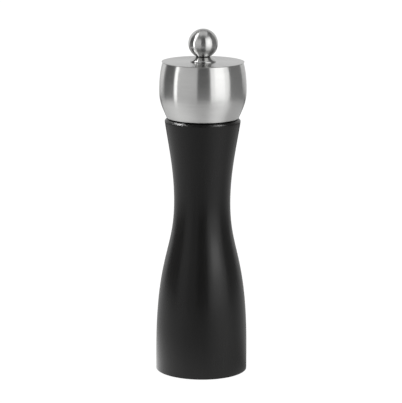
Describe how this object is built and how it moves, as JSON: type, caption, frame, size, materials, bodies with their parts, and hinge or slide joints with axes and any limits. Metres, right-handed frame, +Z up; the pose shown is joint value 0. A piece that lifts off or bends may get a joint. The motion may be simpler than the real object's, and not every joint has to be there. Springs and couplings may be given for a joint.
{
  "type": "pepper mill",
  "caption": "Hand pepper mill: hourglass wooden body, flat-topped steel head that turns a toothed grinder in the base, and a ball knob that sets how fine it grinds.",
  "frame": {"origin": "centre of the base, on the surface that the mill stands on", "axes": "+Z up along the mill's axis, from the base to the ball knob; the crossbar under the base lies along X"},
  "size_m": [0.053, 0.053, 0.2],
  "materials": {
    "lacquered_wood": "black satin lacquer on turned beech",
    "black_nylon": "moulded black nylon",
    "hardened_steel": "hardened and oiled",
    "plated_steel": "zinc plated",
    "satin_steel": "stainless, brushed round its axis"
  },
  "bodies": {
    "body": {"wooden_body": "lacquered_wood", "neck_bush": "black_nylon", "grinder_housing": "black_nylon", "stator": "hardened_steel", "spring_bridge": "plated_steel", "crossbar": "plated_steel", "crossbar_screw_1": "plated_steel", "crossbar_screw_2": "plated_steel", "housing_screw_1": "plated_steel", "housing_screw_2": "plated_steel"},
    "drive": {"thrust_washer": "plated_steel", "spring": "plated_steel"},
    "spindle": {"spindle": "plated_steel", "rotor": "hardened_steel", "rotor_clip": "plated_steel"},
    "head": {"head_shell": "satin_steel", "head_core": "black_nylon", "head_collar": "satin_steel", "drive_plate": "plated_steel", "drive_plate_screw_1": "plated_steel", "drive_plate_screw_2": "plated_steel"},
    "washer": {"knob_washer": "black_nylon"},
    "knob": {"ball_knob": "satin_steel"}
  },
  "joints": [
    {"name": "grind_turn", "type": "hinge", "parent": "body", "child": "drive", "pos_m": [0, 0, 0.15], "axis": [0, 0, 1], "continuous": true},
    {"name": "grind_set", "type": "slide", "parent": "drive", "child": "spindle", "axis": [0, 0, 1], "range_m": [-0.00082, 0.00082], "deforming": ["spring"]},
    {"name": "head_lift", "type": "slide", "parent": "drive", "child": "head", "axis": [0, 0, 1], "range_m": [0, 0.065]},
    {"name": "knob_lift", "type": "slide", "parent": "head", "child": "washer", "axis": [0, 0, 1], "range_m": [0, 0.03]},
    {"name": "knob_turn", "type": "hinge", "parent": "washer", "child": "knob", "pos_m": [0, 0, 0.19], "axis": [0, 0, 1], "range_deg": [-360, 360]}
  ],
  "couplings": [
    {"joint": "grind_set", "follows": "knob_turn", "m_per_rad": -0.00012732}
  ]
}
